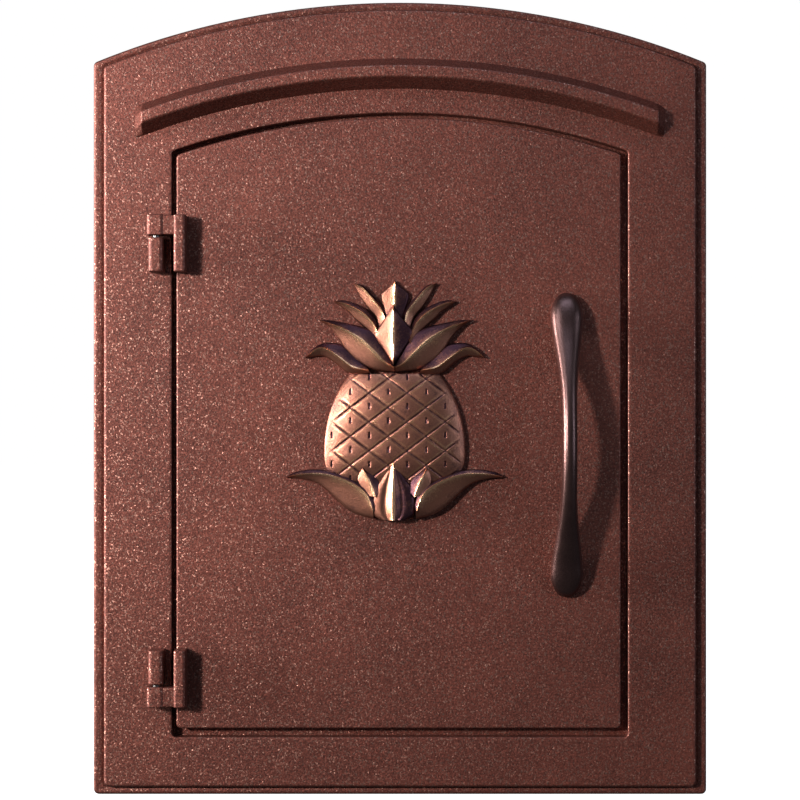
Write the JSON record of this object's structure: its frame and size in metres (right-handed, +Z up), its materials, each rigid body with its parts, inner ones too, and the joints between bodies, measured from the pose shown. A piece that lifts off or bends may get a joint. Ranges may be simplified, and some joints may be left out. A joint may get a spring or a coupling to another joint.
{
  "type": "wall mounted mailbox",
  "caption": "Recessed wall mailbox: arched cast faceplate with rain hood, hinged door with bow handle and relief emblem, sheet-steel mail box behind.",
  "frame": {"origin": "on the wall plane, at the middle of the faceplate's bottom edge", "axes": "+X to the right seen from the front, +Y into the wall, +Z up; the front faces -Y"},
  "size_m": [0.356, 0.3402, 0.4599],
  "materials": {
    "powder_coat": "textured copper-brown powder coat with fine metallic flakes",
    "handle_coat": "smooth satin copper-brown coat",
    "rubbed_copper": "antique copper, dark in the hollows and rubbed bright on the ridges",
    "galvanised_sheet": "galvanised sheet with a fine spangle",
    "zinc_fasteners": "zinc plated",
    "pin_steel": "ground stainless steel",
    "catch_plastic": "black moulded plastic",
    "ferrite": "dark grey ferrite",
    "black_rubber": "matt black rubber"
  },
  "bodies": {
    "housing": {"faceplate": "powder_coat", "box_tray": "galvanised_sheet", "box_roof": "galvanised_sheet", "box_back": "galvanised_sheet", "box_flange_screws": "zinc_fasteners", "box_roof_rivets": "zinc_fasteners", "box_back_rivets": "zinc_fasteners", "upper_hinge_knuckle": "powder_coat", "lower_hinge_knuckle": "powder_coat", "upper_hinge_pin": "pin_steel", "lower_hinge_pin": "pin_steel", "knuckle_screws": "zinc_fasteners", "catch_housing": "catch_plastic", "catch_magnet": "ferrite", "catch_pole_plates": "pin_steel", "catch_screws": "zinc_fasteners", "door_bumpers": "black_rubber"},
    "door": {"door_panel": "powder_coat", "upper_hinge_arm": "powder_coat", "lower_hinge_arm": "powder_coat", "hinge_arm_screws": "zinc_fasteners", "pull_handle": "handle_coat", "handle_screws": "zinc_fasteners", "handle_washers": "zinc_fasteners", "pineapple_emblem": "rubbed_copper", "emblem_screws": "zinc_fasteners", "strike_plate": "pin_steel", "strike_screws": "zinc_fasteners"}
  },
  "joints": [
    {"name": "door_swing", "type": "hinge", "parent": "housing", "child": "door", "pos_m": [-0.14, -0.0165, 0.194], "axis": [0, 0, -1], "range_deg": [0, 170]}
  ]
}
